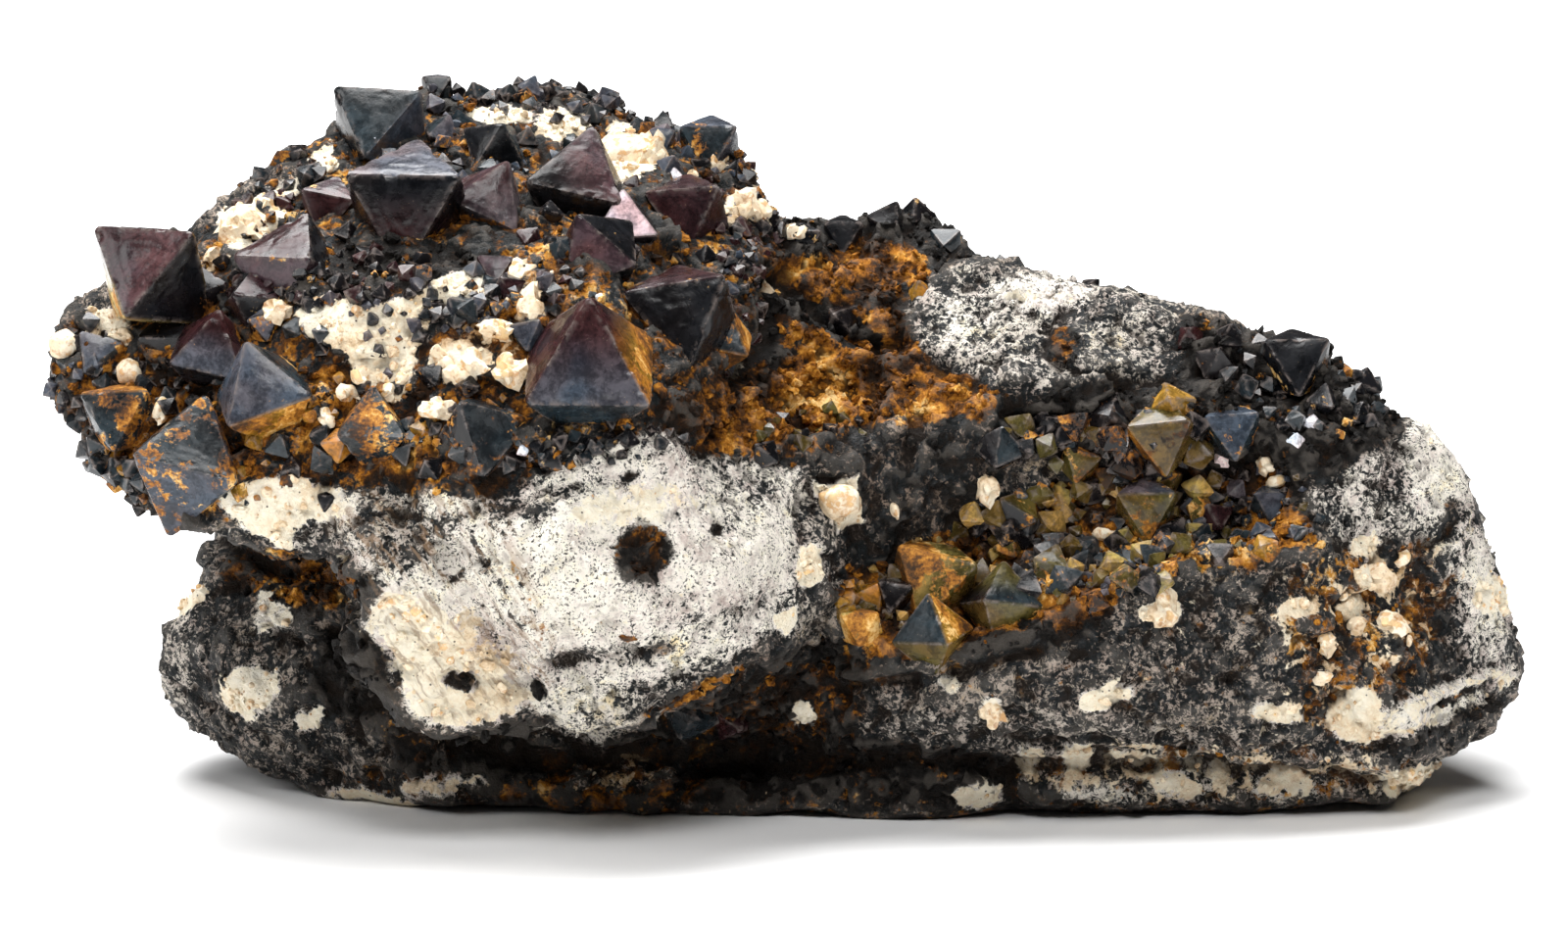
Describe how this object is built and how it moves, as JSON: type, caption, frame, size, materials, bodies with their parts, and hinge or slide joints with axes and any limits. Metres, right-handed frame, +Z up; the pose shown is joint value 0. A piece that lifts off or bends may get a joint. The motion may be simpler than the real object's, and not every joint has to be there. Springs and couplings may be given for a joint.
{
  "type": "mineral specimen",
  "caption": "Hand specimen of black octahedral magnetite crystals grown over a block of speckled, rust-stained rock with a pale broken front face.",
  "frame": {"origin": "middle of the bounding box's underside, on the surface the specimen rests on", "axes": "+X along the specimen, its longest extent, towards the right of the picture; +Y away from the viewer; +Z up"},
  "size_m": [0.1038, 0.0578, 0.0504],
  "materials": {
    "rock": "rough broken rock, speckled",
    "magnetite": "submetallic crystal faces, partly rust-coated",
    "feldspar": "dull cream grain"
  },
  "bodies": {
    "root": {"feldspar_edge": "feldspar", "feldspar_left": "feldspar", "feldspar_top": "feldspar", "feldspar_upper_left": "feldspar", "feldspar_vug": "feldspar", "magnetite_behind_upper_left": "magnetite", "magnetite_crest_block": "magnetite", "magnetite_crest_front": "magnetite", "magnetite_crest_right": "magnetite", "magnetite_crest_small": "magnetite", "magnetite_dark_blue": "magnetite", "magnetite_dark_mauve": "magnetite", "magnetite_dark_red": "magnetite", "magnetite_edge_left": "magnetite", "magnetite_far_right_a": "magnetite", "magnetite_front_large": "magnetite", "magnetite_high_large": "magnetite", "magnetite_high_middle": "magnetite", "magnetite_lower_left": "magnetite", "magnetite_mauve_grey": "magnetite", "magnetite_ochre": "magnetite", "magnetite_ridge_block": "magnetite", "magnetite_ridge_blue": "magnetite", "magnetite_right_dark": "magnetite", "magnetite_round_grey": "magnetite", "magnetite_round_small": "magnetite", "magnetite_rusty_left": "magnetite", "magnetite_small_blue_a": "magnetite", "magnetite_small_mauve_a": "magnetite", "magnetite_small_mauve_b": "magnetite", "magnetite_small_spire": "magnetite", "magnetite_top_large": "magnetite", "magnetite_under_bright": "magnetite", "magnetite_vug_blue": "magnetite", "magnetite_vug_dark": "magnetite", "magnetite_vug_large": "magnetite", "magnetite_vug_olive": "magnetite", "magnetite_vug_pyramid_a": "magnetite", "magnetite_vug_roof": "magnetite", "magnetite_vug_small_a": "magnetite", "magnetite_vug_small_b": "magnetite", "magnetite_vug_upper": "magnetite", "magnetite_vug_yellow": "magnetite", "matrix_rock": "rock"}
  },
  "joints": []
}
